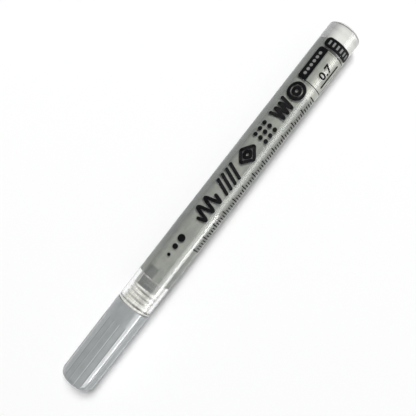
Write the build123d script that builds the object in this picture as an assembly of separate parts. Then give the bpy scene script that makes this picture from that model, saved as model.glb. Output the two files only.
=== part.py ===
"""Valve-action paint marker, capped and lying on its side.

The pen's axis runs along X, half a barrel diameter above the table, with the nib end at +X.
The origin is on the table, under the middle of the capped marker. All sizes are in millimetres.
"""
import os
from math import atan2, cos, degrees, hypot, pi, sin, sqrt

from build123d import *

# Barrel: a clear tube, counterbored at the rear for the plug
barrel_diameter = 12.0
barrel_length = 109.4
barrel_wall = 1.2
barrel_rim_radius = 0.9
edge_break = 0.15

# Rear plug: pressed into the counterbore, its chamfered face proud of the rim
plug_depth = 6.1
plug_seat_step = 0.15
plug_proud = 0.9
plug_chamfer = 0.85

# Front section, behind the flange: a threaded spigot inside the barrel
spigot_length = 10.0
spigot_land_length = 4.1
thread_length = 4.9
thread_depth = 0.5
flange_thickness = 0.8
flange_inset = 0.1

# Front section, ahead of the flange: cap seat with its bead, grip, shoulder and nose
cap_seat_length = 6.2
cap_bead_place = 2.6
cap_bead_width = 1.0
cap_bead_height = 0.12
grip_length = 5.5
grip_step = 0.5
grip_taper = 0.3
shoulder_length = 2.0
shoulder_drop = 1.4
nose_length = 8.0
nose_tip_wall = 0.6

# Nib: a fibre rod, tapered to its writing point
nib_diameter = 2.0
nib_point_diameter = 0.7
nib_exposed = 3.0
nib_taper_length = 2.0

# Valve inside the section: cage, spring, stem and soft seat, from the rear
skirt_wall = 0.84
skirt_depth = 4.0
cage_end_thickness = 0.9
cage_ring_wall = 0.6
cage_length = 3.0
inlet_count = 4
inlet_edge_gap = 0.2
inlet_centre_radius = 1.15
spring_length = 8.0
spring_wire = 0.4
spring_wire_sides = 6
spring_side_gap = 0.55
spring_turns = 5
stem_head_thickness = 0.9
stem_head_overlap = 0.75
stem_sleeve_wall = 0.6
stem_pin_gap = 0.5
stem_pin_length = 4.5
nib_socket_depth = 3.0
flow_slot_count = 4
flow_slot_width = 0.6
flow_slot_depth = 0.25
valve_seat_thickness = 1.0
valve_seat_width = 1.45
stem_passage_length = 4.2

# Cap: a drafted shell with shallow flutes, and a thin cup inside it
cap_length = 30.65
cap_wall = 0.85
cap_end_thickness = 1.2
cap_draft = 0.15
cap_end_radius = 2.2
flute_count = 8
flute_width = 2.4
flute_depth = 0.25
flute_start = 6.3
flute_turn = 14.0
liner_nose_gap = 0.45
liner_wall = 0.7
liner_flange_length = 2.5

# Mixing ball, free to run along the reservoir with paint all round it
ball_side_room = 2.28

# Clearances
plug_clearance = 0.03
thread_clearance = 0.06
paint_clearance = 0.03
valve_clearance = 0.05
nib_clearance = 0.06
stem_clearance = 0.2
cap_fit = 0.07
cap_gap = 0.25
liner_clearance = 0.03
liner_seal_gap = 0.2
ball_clearance = 0.12

# Radii that follow from the sizes above
barrel_radius = barrel_diameter / 2
bore_radius = barrel_radius - barrel_wall
plug_bore_radius = bore_radius + plug_seat_step
plug_radius = plug_bore_radius - plug_clearance
land_radius = bore_radius - thread_clearance
thread_root_radius = land_radius - thread_depth
flange_radius = barrel_radius - flange_inset
cap_bore_radius = barrel_radius - cap_wall
cap_bead_radius = cap_bore_radius - cap_fit
cap_seat_radius = cap_bead_radius - cap_bead_height
grip_rear_radius = cap_seat_radius - grip_step
grip_front_radius = grip_rear_radius - grip_taper
nose_rear_radius = grip_front_radius - shoulder_drop
liner_radius = nose_rear_radius + liner_nose_gap
nib_radius = nib_diameter / 2
nib_bore_radius = nib_radius + nib_clearance
nose_tip_radius = nib_bore_radius + nose_tip_wall
stem_sleeve_radius = nib_radius + stem_sleeve_wall
stem_passage_radius = stem_sleeve_radius + stem_clearance
stem_head_radius = stem_passage_radius + stem_head_overlap
valve_seat_radius = stem_passage_radius + valve_seat_width
valve_room_radius = valve_seat_radius + valve_clearance
skirt_radius = thread_root_radius - skirt_wall
cage_radius = skirt_radius - valve_clearance
cage_inner_radius = cage_radius - cage_ring_wall
inlet_radius = (cage_inner_radius - inlet_edge_gap - inlet_centre_radius) / 2
inlet_circle_radius = inlet_centre_radius + inlet_radius
coil_radius = cage_inner_radius - spring_side_gap - spring_wire / 2
stem_pin_radius = coil_radius - spring_wire / 2 - stem_pin_gap
ball_way_radius = bore_radius - ball_side_room
ball_radius = ball_way_radius - ball_clearance

# Stations along the axis, from the rear end to the nib end
overall_length = plug_proud + barrel_length + flange_thickness + cap_gap + cap_length
rear_end = -overall_length / 2
barrel_rear = rear_end + plug_proud
plug_front = barrel_rear + plug_depth
barrel_front = barrel_rear + barrel_length
section_rear = barrel_front - spigot_length
thread_rear = section_rear + spigot_land_length
thread_front = thread_rear + thread_length
flange_front = barrel_front + flange_thickness
seat_front = flange_front + cap_seat_length
grip_front = seat_front + grip_length
shoulder_front = grip_front + shoulder_length
nose_tip = shoulder_front + nose_length
nib_tip = nose_tip + nib_exposed
cage_rear = section_rear + skirt_depth
spring_rear = cage_rear + cage_end_thickness
head_rear = spring_rear + spring_length
head_front = head_rear + stem_head_thickness
valve_seat_rear = head_front + valve_clearance
chamber_front = valve_seat_rear + valve_seat_thickness
passage_front = chamber_front + stem_passage_length
cap_rim = flange_front + cap_gap
cap_end = cap_rim + cap_length
cap_floor = cap_end - cap_end_thickness

axis_height = barrel_radius
pen_axis = Axis((0, 0, axis_height), (1, 0, 0))
profile_plane = Plane(origin=(0, 0, axis_height), x_dir=(1, 0, 0), z_dir=(0, -1, 0))


def turned(*outline):
    """Solid of revolution about the pen's axis, from (station, radius) points."""
    face = make_face(Polyline(*outline, close=True))
    return revolve(profile_plane * face, pen_axis)


def ring_edges(piece, station, radius):
    """Circular edges of a turned piece at one station and radius."""
    near = 1e-4

    def is_ring(edge):
        if edge.geom_type != GeomType.CIRCLE:
            return False
        return abs(edge.arc_center.X - station) < near and abs(edge.radius - radius) < near

    return piece.edges().filter_by(is_ring)


def around_axis(station, angle):
    """Place on the pen's axis, turned by an angle from straight up towards +Y."""
    return Location((station, 0, axis_height)) * Rot(X=-angle)


def cap_bore_at(station):
    """Radius of the cap's drafted bore at a station."""
    share = (station - cap_rim) / cap_length
    return cap_bore_radius - cap_draft * share


def make_barrel():
    tube = turned(
        (barrel_rear, plug_bore_radius),
        (barrel_rear, barrel_radius),
        (barrel_front, barrel_radius),
        (barrel_front, bore_radius),
        (plug_front, bore_radius),
        (plug_front, plug_bore_radius),
    )
    rim_radius = min(barrel_rim_radius, 0.9 * (barrel_radius - plug_bore_radius))
    tube = fillet(ring_edges(tube, barrel_rear, barrel_radius), rim_radius)
    return chamfer(ring_edges(tube, barrel_front, barrel_radius), edge_break)


def make_rear_plug():
    return turned(
        (rear_end, 0),
        (rear_end, plug_radius - plug_chamfer),
        (barrel_rear, plug_radius),
        (plug_front, plug_radius),
        (plug_front, 0),
    )


def make_front_section():
    bead_rear = flange_front + cap_bead_place
    bead_front = bead_rear + cap_bead_width
    section = turned(
        (section_rear, skirt_radius),
        (section_rear, land_radius),
        (thread_rear, land_radius),
        (thread_rear, thread_root_radius),
        (thread_front, thread_root_radius),
        (thread_front, land_radius),
        (barrel_front, land_radius),
        (barrel_front, flange_radius),
        (flange_front, flange_radius),
        (flange_front, cap_seat_radius),
        (bead_rear, cap_seat_radius),
        (bead_rear + cap_bead_width / 3, cap_bead_radius),
        (bead_front - cap_bead_width / 3, cap_bead_radius),
        (bead_front, cap_seat_radius),
        (seat_front, cap_seat_radius),
        (seat_front, grip_rear_radius),
        (grip_front, grip_front_radius),
        (shoulder_front, nose_rear_radius),
        (nose_tip, nose_tip_radius),
        (nose_tip, nib_bore_radius),
        (passage_front, nib_bore_radius),
        (passage_front, stem_passage_radius),
        (chamber_front, stem_passage_radius),
        (chamber_front, valve_room_radius),
        (barrel_front, valve_room_radius),
        (barrel_front, skirt_radius),
    )
    corners = ring_edges(section, flange_front, flange_radius)
    corners += ring_edges(section, seat_front, cap_seat_radius)
    corners += ring_edges(section, nose_tip, nose_tip_radius)
    return chamfer(corners, edge_break)


def make_valve_seat():
    return turned(
        (valve_seat_rear, stem_passage_radius),
        (valve_seat_rear, valve_seat_radius),
        (chamber_front, valve_seat_radius),
        (chamber_front, stem_passage_radius),
    )


def make_valve_cage():
    """Cup that holds the spring's rear end, with paint inlets through its end wall."""
    cage = turned(
        (cage_rear, 0),
        (cage_rear, cage_radius),
        (cage_rear + cage_length, cage_radius),
        (cage_rear + cage_length, cage_inner_radius),
        (spring_rear, cage_inner_radius),
        (spring_rear, 0),
    )
    inlet = Rot(Y=90) * Cylinder(inlet_radius, 2 * cage_end_thickness)
    for number in range(inlet_count):
        spot = around_axis(cage_rear + cage_end_thickness / 2, 360 * number / inlet_count)
        cage -= spot * Pos(Z=inlet_circle_radius) * inlet
    return cage


def make_valve_stem():
    """Plunger: a pin inside the spring, the valve's head and a slotted sleeve for the nib."""
    sleeve_front = chamber_front + nib_socket_depth
    stem = turned(
        (head_rear - stem_pin_length, 0),
        (head_rear - stem_pin_length, stem_pin_radius),
        (head_rear, stem_pin_radius),
        (head_rear, stem_head_radius),
        (head_front, stem_head_radius),
        (head_front, stem_sleeve_radius),
        (sleeve_front, stem_sleeve_radius),
        (sleeve_front, nib_radius),
        (chamber_front, nib_radius),
        (chamber_front, 0),
    )
    slot = Box(sleeve_front - head_front, flow_slot_width, 2 * flow_slot_depth)
    for number in range(flow_slot_count):
        spot = around_axis((head_front + sleeve_front) / 2, 360 * number / flow_slot_count)
        stem -= spot * Pos(Z=stem_sleeve_radius) * slot
    return stem


def make_valve_spring():
    """One unbroken coil: each quarter turn is a pair of tangent arcs."""
    coil_height = spring_length - spring_wire - 2 * valve_clearance
    rise = coil_height / spring_turns
    start = spring_rear + valve_clearance + spring_wire / 2
    centre = Vector(start, 0, axis_height)

    def coil_point(turn):
        angle = 2 * pi * turn
        return centre + Vector(rise * turn, coil_radius * cos(angle), coil_radius * sin(angle))

    def coil_direction(turn):
        angle = 2 * pi * turn
        round_speed = 2 * pi * coil_radius
        return Vector(rise, -round_speed * sin(angle), round_speed * cos(angle)).normalized()

    arcs = []
    for quarter in range(4 * spring_turns):
        first, last = coil_point(quarter / 4), coil_point((quarter + 1) / 4)
        leave, arrive = coil_direction(quarter / 4), coil_direction((quarter + 1) / 4)
        chord, both = last - first, leave + arrive
        bend = 2 * (1 - leave.dot(arrive))
        along = chord.dot(both)
        reach = (sqrt(along * along + bend * chord.dot(chord)) - along) / bend
        middle = (first + last + (leave - arrive) * reach) * 0.5
        arcs.append(TangentArc(first, middle, tangent=leave))
        arcs.append(TangentArc(last, middle, tangent=-arrive))

    climb = hypot(rise, 2 * pi * coil_radius)
    gap = rise * 2 * pi * coil_radius / climb - spring_wire
    print(f"valve_spring: least gap between turns {gap:.2f} mm")
    wire_end = Plane(origin=coil_point(0), z_dir=coil_direction(0))
    section = wire_end * RegularPolygon(spring_wire / 2, spring_wire_sides)
    return sweep(section, path=Wire(arcs))


def make_nib():
    point_rear = nib_tip - nib_point_diameter / 2
    nib = turned(
        (chamber_front, 0),
        (chamber_front, nib_radius),
        (point_rear - nib_taper_length, nib_radius),
        (point_rear, nib_point_diameter / 2),
        (nib_tip, nib_point_diameter / 2),
        (nib_tip, 0),
    )
    return fillet(ring_edges(nib, nib_tip, nib_point_diameter / 2), 0.45 * nib_point_diameter)


def make_paint_fill():
    """Paint in the reservoir and the section's skirt, with the way that the ball stirs."""
    main_radius = bore_radius - paint_clearance
    skirt_fill_radius = skirt_radius - paint_clearance
    return turned(
        (plug_front + paint_clearance, ball_way_radius),
        (plug_front + paint_clearance, main_radius),
        (section_rear - paint_clearance, main_radius),
        (section_rear - paint_clearance, skirt_fill_radius),
        (cage_rear - paint_clearance, skirt_fill_radius),
        (cage_rear - paint_clearance, ball_way_radius),
    )


def make_mixing_ball():
    return Pos((plug_front + cage_rear) / 2, 0, axis_height) * Sphere(ball_radius)


def make_cap_shell():
    end_radius = barrel_radius - cap_draft
    shell = turned(
        (cap_rim, cap_bore_radius),
        (cap_rim, barrel_radius),
        (cap_end, end_radius),
        (cap_end, 0),
        (cap_floor, 0),
        (cap_floor, cap_bore_at(cap_floor)),
    )
    shell = fillet(ring_edges(shell, cap_end, end_radius), cap_end_radius)
    shell = chamfer(ring_edges(shell, cap_rim, barrel_radius), edge_break)
    flute_length = cap_length - flute_start
    cutter_height = 2 * flute_depth
    cutter = Box(flute_length, flute_width, cutter_height)
    for number in range(flute_count):
        spot = around_axis(cap_rim, flute_turn + 360 * number / flute_count)
        slope = spot * Pos(Z=barrel_radius - flute_depth) * Rot(Y=degrees(atan2(cap_draft, cap_length)))
        shell -= slope * Pos(X=flute_start + flute_length / 2, Z=cutter_height / 2) * cutter
    return shell


def make_cap_liner():
    """Thin cup carried by a flange in the cap's blind end, with its lip near the shoulder."""
    cup_radius = liner_radius + liner_wall
    seal_share = (grip_front_radius - liner_radius) / shoulder_drop
    lip = grip_front + shoulder_length * seal_share + liner_seal_gap
    back = cap_floor - liner_clearance
    flange_start = back - liner_flange_length
    flange_outer = cap_bore_at(cap_floor) - liner_clearance
    return turned(
        (lip, liner_radius),
        (lip, cup_radius),
        (flange_start, cup_radius),
        (flange_start, flange_outer),
        (back, flange_outer),
        (back, 0),
        (back - liner_wall, 0),
        (back - liner_wall, liner_radius),
    )


pieces = {
    "barrel": make_barrel(),
    "rear_plug": make_rear_plug(),
    "paint_fill": make_paint_fill(),
    "mixing_ball": make_mixing_ball(),
    "front_section": make_front_section(),
    "valve_seat": make_valve_seat(),
    "valve_cage": make_valve_cage(),
    "valve_spring": make_valve_spring(),
    "valve_stem": make_valve_stem(),
    "nib": make_nib(),
    "cap_shell": make_cap_shell(),
    "cap_liner": make_cap_liner(),
}

os.makedirs("parts", exist_ok=True)
for node, solid in pieces.items():
    export_step(solid, f"parts/{node}.step")
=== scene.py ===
# %% [markdown]
# # A silver paint marker
# The marker lies on its side with its cap on. Its solids come in from the CAD frame, which says where
# every piece is, and this lesson dresses them: turned shells, a screw thread, a coil spring, ink on
# the barrel, and finishes for clear plastic, paint, moulded cap and steel.

# %% Load the frame
from math import asin, atan2, cos, degrees, pi, radians, sin, tan, tau

import bmesh
import bpy
from mathutils import Matrix, Vector


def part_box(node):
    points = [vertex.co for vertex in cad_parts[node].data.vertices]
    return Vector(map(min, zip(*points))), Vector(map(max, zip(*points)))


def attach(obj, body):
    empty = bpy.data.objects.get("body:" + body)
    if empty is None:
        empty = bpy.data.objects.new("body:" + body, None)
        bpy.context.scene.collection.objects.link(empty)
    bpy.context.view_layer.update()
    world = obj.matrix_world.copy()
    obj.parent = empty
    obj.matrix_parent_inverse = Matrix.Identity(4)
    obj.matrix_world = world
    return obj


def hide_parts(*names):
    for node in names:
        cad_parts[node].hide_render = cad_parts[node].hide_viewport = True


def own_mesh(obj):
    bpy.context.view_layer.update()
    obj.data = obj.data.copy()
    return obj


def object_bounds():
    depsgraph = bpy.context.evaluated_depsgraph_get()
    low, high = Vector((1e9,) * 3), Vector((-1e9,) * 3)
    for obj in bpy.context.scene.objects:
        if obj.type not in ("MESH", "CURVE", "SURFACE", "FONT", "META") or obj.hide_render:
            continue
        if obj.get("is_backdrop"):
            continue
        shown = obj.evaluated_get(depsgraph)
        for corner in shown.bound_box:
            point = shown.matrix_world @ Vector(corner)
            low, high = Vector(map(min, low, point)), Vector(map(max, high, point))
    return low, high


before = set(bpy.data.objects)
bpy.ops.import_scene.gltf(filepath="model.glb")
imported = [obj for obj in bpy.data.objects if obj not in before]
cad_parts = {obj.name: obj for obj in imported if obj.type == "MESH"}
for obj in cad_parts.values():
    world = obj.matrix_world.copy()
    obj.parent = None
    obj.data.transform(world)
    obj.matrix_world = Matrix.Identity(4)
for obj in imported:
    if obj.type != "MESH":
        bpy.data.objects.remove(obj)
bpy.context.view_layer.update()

print("CAD nodes:", ", ".join(sorted(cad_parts)))

# %% [markdown]
# ## Sizes
# Blender works in metres here, and a marker is easier to read in millimetres, so outlines are written
# as (station along the pen, radius) in millimetres. Stations are read from the CAD nodes, so each new
# piece starts and ends where its solid does. A size that a box can't tell is named where it is first
# needed.

# %% Stations and radii in millimetres
MM = 0.001


def span(node):
    """First and last station of a CAD node along the pen."""
    low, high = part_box(node)
    return low.x / MM, high.x / MM


def radius_of(node, axis):
    """Half of a CAD node's size along one axis."""
    low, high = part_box(node)
    return (getattr(high, axis) - getattr(low, axis)) / 2 / MM


barrel_low, barrel_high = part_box("barrel")
AXIS = (barrel_low.z + barrel_high.z) / 2
BARREL_R = radius_of("barrel", "z")
BARREL_REAR, BARREL_FRONT = span("barrel")
print(f"barrel {BARREL_REAR:.2f} to {BARREL_FRONT:.2f} mm, radius {BARREL_R:.2f} mm")
print(f"axis {AXIS / MM:.2f} mm above the floor")

# %% [markdown]
# ## Turning on a lathe
# Almost every piece of a pen is round, and a lathe makes it: a half outline is drawn and spun about
# the axis. An operator acts on all that is selected, so the first helpers select one piece alone, or
# only the vertices at a place.

# %% Select, choose and apply
SEAM = 2e-6


def pick(piece):
    """Select one piece alone and make it the active one."""
    bpy.ops.object.select_all(action="DESELECT")
    piece.select_set(True)
    bpy.context.view_layer.objects.active = piece


def choose(piece, wanted):
    """In edit mode, select the vertices for which wanted(place) is true."""
    mesh = bmesh.from_edit_mesh(piece.data)
    for vertex in mesh.verts:
        vertex.select = bool(wanted(vertex.co))
    mesh.select_flush_mode()
    bmesh.update_edit_mesh(piece.data)


def added(name):
    """The primitive that was just added, named, with its place and size put into its mesh."""
    piece = bpy.context.active_object
    piece.name = piece.data.name = name
    bpy.ops.object.transform_apply(location=True, rotation=True, scale=True)
    return piece


def apply_modifier(piece, modifier):
    pick(piece)
    bpy.ops.object.modifier_apply(modifier=modifier.name)


print("helpers: pick, choose, added, apply_modifier")

# %% [markdown]
# By hand the outline is one vertex, extruded from corner to corner, with chosen corners rounded by a
# vertex bevel, and then the Spin tool. Spin leaves a seam and a pole, so doubles are merged, and the
# normals are recalculated so that the faces point outwards. Weighted normals keep the long, even faces
# true beside the small rounded ones.

# %% Trace an outline
SMOOTH_ANGLE = 35


def trace(name, corners, closed):
    """A wire through the corners, drawn by extruding one vertex; the piece stays in edit mode."""
    bpy.ops.object.select_all(action="DESELECT")
    bpy.ops.mesh.primitive_plane_add(size=MM, location=(0, 0, 0))
    piece = added(name)
    bpy.ops.object.mode_set(mode="EDIT")
    bpy.ops.mesh.select_all(action="SELECT")
    bpy.ops.mesh.merge(type="CENTER")
    bpy.ops.transform.translate(value=corners[0])
    for before, after in zip(corners, corners[1:]):
        bpy.ops.mesh.extrude_vertices_move(TRANSFORM_OT_translate={"value": after - before})
    if closed:
        ends = (corners[0], corners[-1])
        choose(piece, lambda place: min((place - end).length for end in ends) < SEAM)
        bpy.ops.mesh.edge_face_add()
    return piece


def tidy_shell():
    """Close seams and poles and turn the faces outwards."""
    bpy.ops.mesh.select_all(action="SELECT")
    bpy.ops.mesh.remove_doubles(threshold=SEAM)
    bpy.ops.mesh.normals_make_consistent(inside=False)


def finish_shape(piece, angle=SMOOTH_ANGLE):
    """Back to object mode and smooth, but for corners sharper than the angle."""
    bpy.ops.object.mode_set(mode="OBJECT")
    bpy.ops.object.shade_smooth_by_angle(angle=radians(angle))
    weighted = piece.modifiers.new("weighted", "WEIGHTED_NORMAL")
    weighted.keep_sharp = True
    apply_modifier(piece, weighted)
    print(f"{piece.name}: {len(piece.data.polygons)} faces")


print("helpers: trace, tidy_shell, finish_shape")

# %% Turn it
TURN_STEPS = 128


def turn(name, outline, rounded=(), closed=True):
    """Spin an outline of (station, radius); rounded holds (corner number, radius, segments)."""
    corners = [Vector((station * MM, 0, AXIS + radius * MM)) for station, radius in outline]
    piece = trace(name, corners, closed)
    for number, radius, segments in rounded:
        corner = corners[number]
        choose(piece, lambda place: (place - corner).length < SEAM)
        bpy.ops.mesh.bevel(offset=radius * MM, segments=segments, affect="VERTICES")
    bpy.ops.mesh.select_all(action="SELECT")
    bpy.ops.mesh.spin(steps=TURN_STEPS, angle=tau, center=(0, 0, AXIS), axis=(1, 0, 0))
    tidy_shell()
    finish_shape(piece)
    return piece


print(f"helper: turn, in {TURN_STEPS} steps")

# %% [markdown]
# ## Barrel, plug and paint
# The barrel is a clear tube with a thick wall, straight in front and a little tapered behind. Its rear
# edge is rounded and its front edge only just broken. The skin is a hair under the solid's radius, so
# that the ink laid on it later ends at the solid's size.

# %% Barrel tube
REAR_END, PLUG_FRONT = span("rear_plug")
BORE_R, PLUG_BORE_R = 4.80, 4.95
SKIN_R = BARREL_R - 0.02
TAPER, TAPER_FRONT = 0.25, BARREL_FRONT - 30.0


def skin_at(station):
    """Radius of the barrel's skin at a station, both in millimetres."""
    return SKIN_R - TAPER * max(0.0, TAPER_FRONT - station) / (TAPER_FRONT - BARREL_REAR)


barrel_tube = turn(
    "barrel_tube",
    [
        (BARREL_REAR, PLUG_BORE_R),
        (BARREL_REAR, skin_at(BARREL_REAR)),
        (TAPER_FRONT, SKIN_R),
        (BARREL_FRONT, SKIN_R),
        (BARREL_FRONT, BORE_R),
        (PLUG_FRONT, BORE_R),
        (PLUG_FRONT, PLUG_BORE_R),
    ],
    rounded=[(1, 0.65, 6), (3, 0.15, 2), (4, 0.1, 2)],
)

# %% [markdown]
# The plug closes the rear end and stands a little proud of it, with a sloped edge. Plug and paint touch
# the tube, so their radius is a hair over its bore: a ray then goes from plastic to paint with no film
# of air between them, and the paint fills the barrel from side to side, as a thick wall makes it look.

# %% End plug and paint column
SECTION_REAR, NOSE_TIP = span("front_section")
CAGE_REAR = span("valve_cage")[0]
CONTACT, END_GAP = 0.02, 0.03
PLUG_R, PLUG_SLOPE = PLUG_BORE_R + CONTACT, 0.85
BALL_WAY_R, SKIRT_R = 2.52, 3.40
end_plug = turn(
    "end_plug",
    [
        (REAR_END, 0),
        (REAR_END, PLUG_R - PLUG_SLOPE),
        (BARREL_REAR, PLUG_R),
        (PLUG_FRONT, PLUG_R),
        (PLUG_FRONT, 0),
    ],
    rounded=[(1, 0.25, 3), (3, 0.2, 2)],
    closed=False,
)
paint_column = turn(
    "paint_column",
    [
        (PLUG_FRONT + END_GAP, BALL_WAY_R),
        (PLUG_FRONT + END_GAP, BORE_R + CONTACT),
        (SECTION_REAR - END_GAP, BORE_R + CONTACT),
        (SECTION_REAR - END_GAP, SKIRT_R + CONTACT),
        (CAGE_REAR - END_GAP, SKIRT_R + CONTACT),
        (CAGE_REAR - END_GAP, BALL_WAY_R),
    ],
)

# %% [markdown]
# ## Screwed-in front section
# The section is one long turned moulding: a threaded spigot, a flange on the barrel's front edge, the
# seat that the cap clicks on, a tapered grip, a shoulder and a nose with a bore for the nib. The land
# behind its thread stands a hair clear of the bore. With air behind it, the edge of the tube mirrors
# the floor there and looks white.

# %% Front section
CHAMBER_FRONT = span("valve_seat")[1]
THREAD_REAR = SECTION_REAR + 4.1
THREAD_FRONT, THREAD_END = THREAD_REAR + 4.9, 0.2
FLANGE_FRONT = BARREL_FRONT + 0.8
SEAT_FRONT = FLANGE_FRONT + 6.2
GRIP_FRONT = SEAT_FRONT + 5.5
SHOULDER_FRONT = GRIP_FRONT + 2.0
PASSAGE_FRONT = CHAMBER_FRONT + 4.2
BEAD = FLANGE_FRONT + 2.6
LAND_R, LIP = BORE_R - 0.03, 0.45
THREAD_ROOT_R, ROOM_R = 4.24, 3.30
FLANGE_R, SEAT_R, BEAD_R = 5.90, 4.96, 5.08
GRIP_REAR_R, GRIP_FRONT_R = 4.46, 4.16
NOSE_REAR_R, NOSE_TIP_R = 2.76, 1.66
NIB_BORE_R, PASSAGE_R = 1.06, 1.80
front_section = turn(
    "screw_section",
    [
        (SECTION_REAR, SKIRT_R),
        (SECTION_REAR, LAND_R),
        (SECTION_REAR + LIP, LAND_R),
        (THREAD_REAR, LAND_R),
        (THREAD_REAR + THREAD_END, THREAD_ROOT_R),
        (THREAD_FRONT - THREAD_END, THREAD_ROOT_R),
        (THREAD_FRONT, LAND_R),
        (BARREL_FRONT, LAND_R),
        (BARREL_FRONT, FLANGE_R),
        (FLANGE_FRONT, FLANGE_R),
        (FLANGE_FRONT, SEAT_R),
        (BEAD, SEAT_R),
        (BEAD + 0.33, BEAD_R),
        (BEAD + 0.67, BEAD_R),
        (BEAD + 1.0, SEAT_R),
        (SEAT_FRONT, SEAT_R),
        (SEAT_FRONT, GRIP_REAR_R),
        (GRIP_FRONT, GRIP_FRONT_R),
        (SHOULDER_FRONT, NOSE_REAR_R),
        (NOSE_TIP, NOSE_TIP_R),
        (NOSE_TIP, NIB_BORE_R),
        (PASSAGE_FRONT, NIB_BORE_R),
        (PASSAGE_FRONT, PASSAGE_R),
        (CHAMBER_FRONT, PASSAGE_R),
        (CHAMBER_FRONT, ROOM_R),
        (BARREL_FRONT, ROOM_R),
        (BARREL_FRONT - 0.1, SKIRT_R),
    ],
    rounded=[(9, 0.2, 3), (15, 0.2, 3), (17, 0.5, 4), (18, 0.5, 4), (19, 0.25, 3)],
)

# %% [markdown]
# The thread that holds the section in the barrel is a ridge wound round the spigot. The Screw modifier
# winds it: one small trapezium is carried round the axis and forward by the pitch.

# %% Screw thread
PITCH, THREAD_TURNS, THREAD_STEPS = 1.6, 2.6, 96
RIDGE_FOOT_R, RIDGE_CREST_R = THREAD_ROOT_R - 0.12, 4.70
FOOT_HALF, CREST_HALF = 0.42, 0.12
ridge_start = THREAD_REAR + 0.1
ridge_corners = [
    (ridge_start - FOOT_HALF, RIDGE_FOOT_R),
    (ridge_start - CREST_HALF, RIDGE_CREST_R),
    (ridge_start + CREST_HALF, RIDGE_CREST_R),
    (ridge_start + FOOT_HALF, RIDGE_FOOT_R),
]


def wind(piece, turns, advance, steps):
    """Carry a traced section round the pen's axis with the Screw modifier and close its ends."""
    bpy.ops.object.mode_set(mode="OBJECT")
    screw = piece.modifiers.new("wind", "SCREW")
    screw.axis = "X"
    screw.angle = tau * turns
    screw.screw_offset = advance * MM
    screw.steps = screw.render_steps = steps
    apply_modifier(piece, screw)
    piece.location = (0, 0, AXIS)
    bpy.ops.object.transform_apply(location=True, rotation=False, scale=False)
    bpy.ops.object.mode_set(mode="EDIT")
    bpy.ops.mesh.select_all(action="SELECT")
    bpy.ops.mesh.fill_holes(sides=0)
    tidy_shell()


ridge_wire = [Vector((station * MM, 0, radius * MM)) for station, radius in ridge_corners]
thread_ridge = trace("thread_ridge", ridge_wire, True)
wind(thread_ridge, THREAD_TURNS, PITCH * THREAD_TURNS, round(THREAD_STEPS * THREAD_TURNS))
finish_shape(thread_ridge)

# %% [markdown]
# The ridge could stay a piece of its own, but then light would meet walls inside the clear plastic. A
# Boolean joins it to the section, as the mould does, and the plastic is one closed body.

# %% Join the thread to the section


def combine(piece, tool, operation):
    """Boolean of two closed shapes; the tool is then deleted."""
    mix = piece.modifiers.new("combine", "BOOLEAN")
    mix.operation = operation
    mix.solver = "EXACT"
    mix.object = tool
    apply_modifier(piece, mix)
    pick(tool)
    bpy.ops.object.delete()


def reshape(piece, angle=SMOOTH_ANGLE):
    """Tidy and smooth a piece again after a Boolean."""
    pick(piece)
    bpy.ops.object.mode_set(mode="EDIT")
    tidy_shell()
    finish_shape(piece, angle)


combine(front_section, thread_ridge, "UNION")
reshape(front_section)

# %% [markdown]
# ## Cap and the cup inside it
# The cap is an opaque moulded shell with a well rounded end, a little narrower there so that it leaves
# the mould. It is turned like the rest, with its bore.

# %% Cap shell
CAP_RIM, CAP_END = span("cap_shell")
CAP_LENGTH, CAP_FLOOR = CAP_END - CAP_RIM, CAP_END - 1.2
CAP_R, CAP_BORE_R, CAP_DRAFT = BARREL_R, 5.15, 0.15
cap_sleeve = turn(
    "cap_sleeve",
    [
        (CAP_RIM, CAP_BORE_R),
        (CAP_RIM, CAP_R),
        (CAP_END, CAP_R - CAP_DRAFT),
        (CAP_END, 0),
        (CAP_FLOOR, 0),
        (CAP_FLOOR, CAP_BORE_R - CAP_DRAFT),
    ],
    rounded=[(0, 0.2, 2), (1, 0.15, 2), (2, 2.2, 10), (5, 0.5, 3)],
)

# %% [markdown]
# Eight shallow flat flutes give the fingers a hold. A bump could only shade them, so a long slab is
# taken away for each, tilted with the draft so that the flute stays as deep all the way. A Bevel
# modifier then breaks the moulded edges, which catch the light.

# %% Flutes
FLUTE_COUNT, FLUTE_TURN = 8, 14.0
FLUTE_START, FLUTE_WIDTH, FLUTE_DEPTH = 6.3, 2.4, 0.25
flute_length = CAP_LENGTH - FLUTE_START
SLAB_SPARE = 1
draft_tilt = Matrix.Rotation(atan2(CAP_DRAFT, CAP_LENGTH), 4, "Y")
lifted = Matrix.Translation((0, 0, (CAP_R - FLUTE_DEPTH) * MM))
slab_middle = FLUTE_START + flute_length / 2 + SLAB_SPARE / 2
forward = Matrix.Translation((slab_middle * MM, 0, FLUTE_DEPTH * MM))
slab_size = ((flute_length + SLAB_SPARE) * MM, FLUTE_WIDTH * MM, 2 * FLUTE_DEPTH * MM, 1)
for number in range(FLUTE_COUNT):
    angle = radians(FLUTE_TURN + 360 * number / FLUTE_COUNT)
    on_cap = Matrix.Translation((CAP_RIM * MM, 0, AXIS)) @ Matrix.Rotation(-angle, 4, "X")
    on_slab = on_cap @ lifted @ draft_tilt @ forward @ Matrix.Diagonal(slab_size)
    bpy.ops.object.select_all(action="DESELECT")
    bpy.ops.mesh.primitive_cube_add(size=1)
    bpy.context.active_object.matrix_world = on_slab
    combine(cap_sleeve, added("flute_slab"), "DIFFERENCE")
edge_break = cap_sleeve.modifiers.new("edge_break", "BEVEL")
edge_break.width = 0.03 * MM
edge_break.segments = 2
edge_break.limit_method = "ANGLE"
edge_break.angle_limit = radians(40)
apply_modifier(cap_sleeve, edge_break)
reshape(cap_sleeve, 30)

# %% [markdown]
# Inside the cap, a thin cup on a flange closes over the nib and keeps it wet.

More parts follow.
